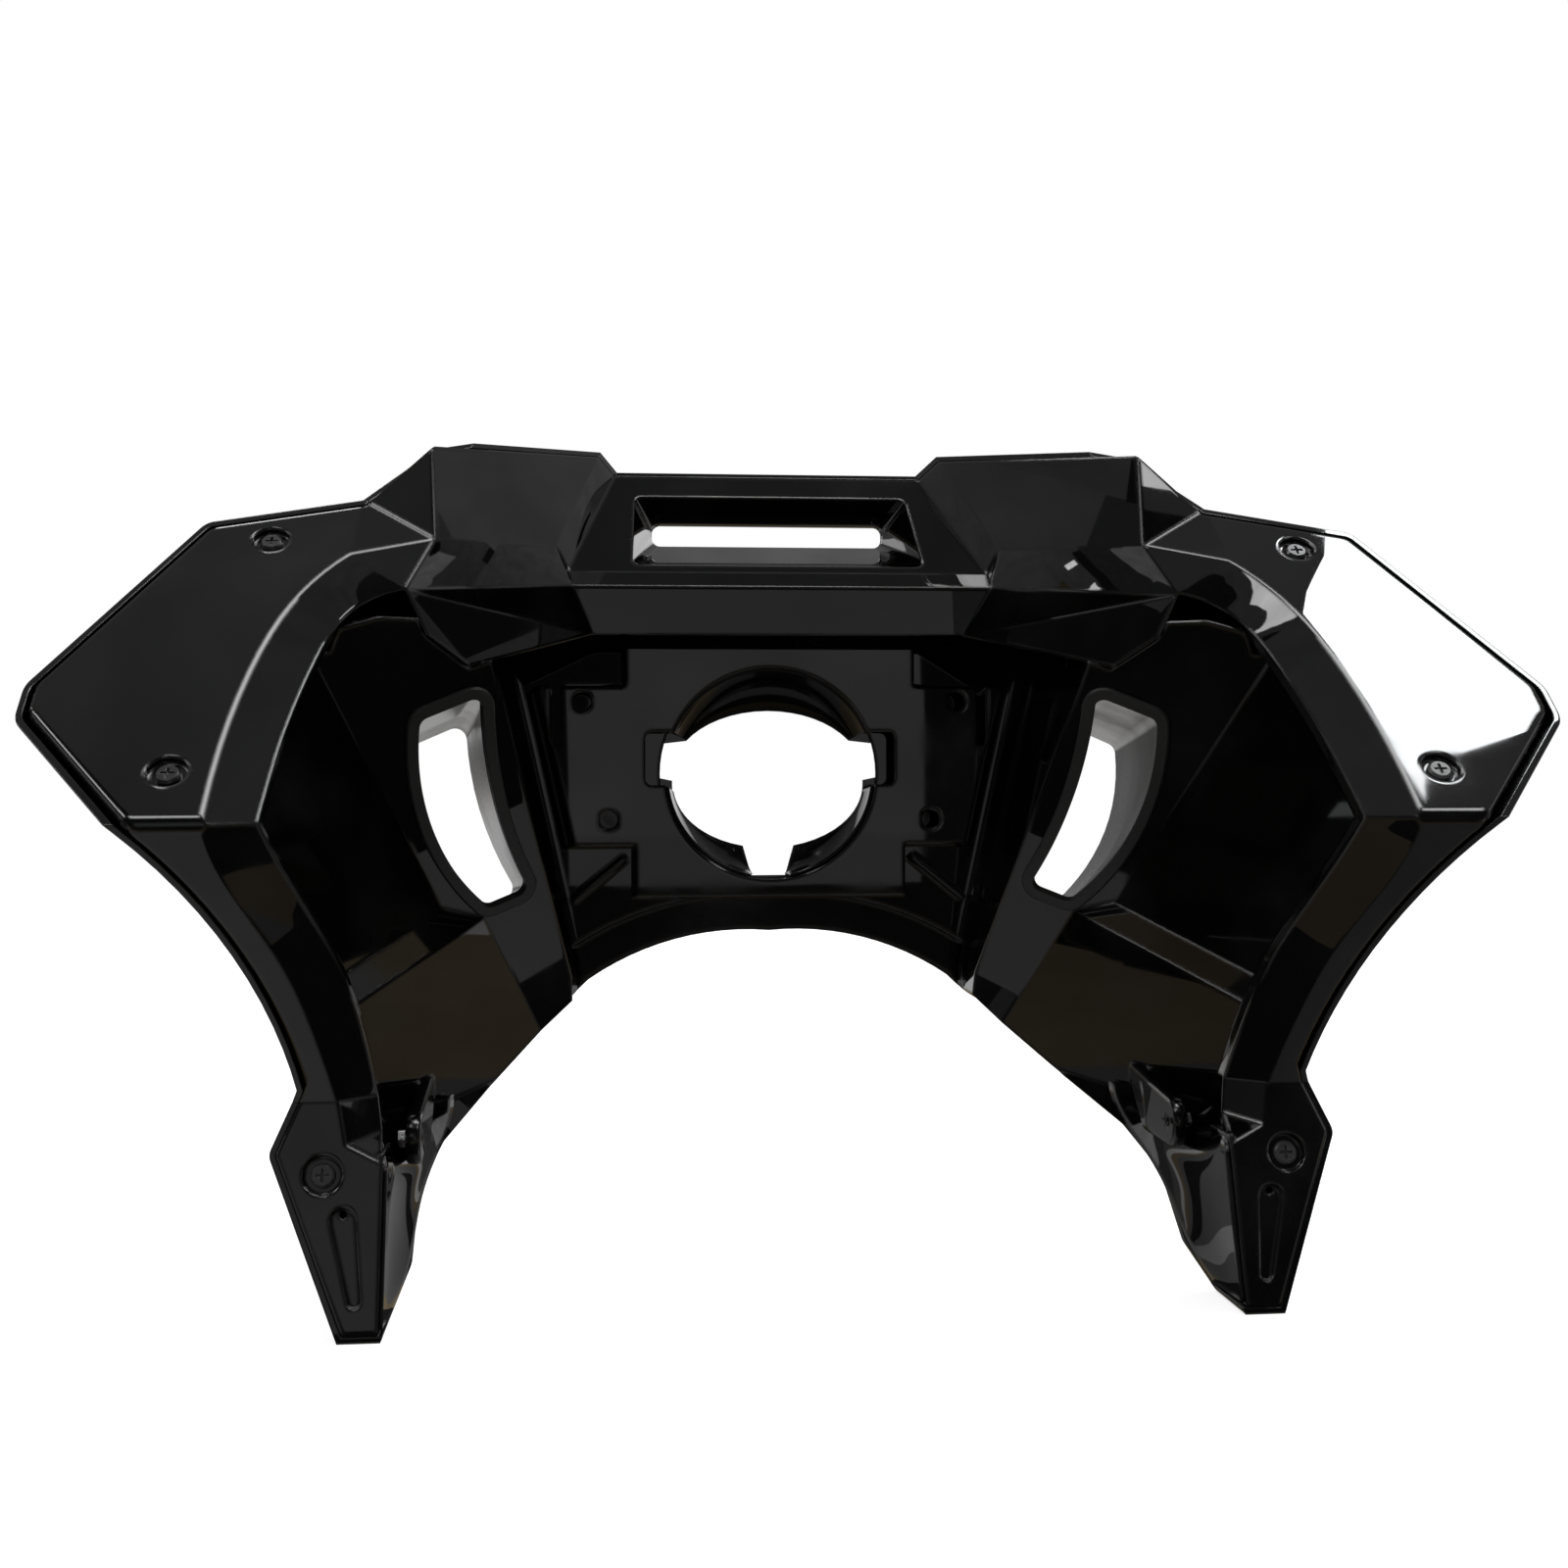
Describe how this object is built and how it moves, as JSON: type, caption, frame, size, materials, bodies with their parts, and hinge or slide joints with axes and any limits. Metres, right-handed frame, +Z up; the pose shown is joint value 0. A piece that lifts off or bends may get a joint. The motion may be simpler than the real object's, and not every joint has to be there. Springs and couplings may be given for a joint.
{
  "type": "motorcycle fairing",
  "caption": "Fork-mounted motorcycle fairing in gloss black plastic, with a shark-nose front skin, inner liner, headlamp plate, side vents and legs either side of the fork arch.",
  "frame": {"origin": "centre of the headlamp opening on the rear face of the mounting plate", "axes": "+X to the rider's right, +Y forward along the ride, +Z up, as the fairing sits on the bike"},
  "size_m": [0.87, 0.3785, 0.54],
  "materials": {
    "skin_black": "gloss",
    "liner_black": "gloss",
    "pan_black": "gloss",
    "duct_black": "satin",
    "trim_rubber": "matte",
    "screw_black": "satin black",
    "insert_brass": "turned",
    "nut_steel": "zinc plated"
  },
  "bodies": {
    "root": {"outer_shell": "skin_black", "inner_liner": "liner_black", "inner_pan": "pan_black", "mounting_plate": "pan_black", "vent_duct_left": "duct_black", "vent_duct_right": "duct_black", "vent_trim_left": "trim_rubber", "vent_trim_right": "trim_rubber", "wing_screws": "screw_black", "leg_screws": "screw_black", "screw_inserts": "insert_brass", "lug_nuts": "nut_steel"}
  },
  "joints": []
}
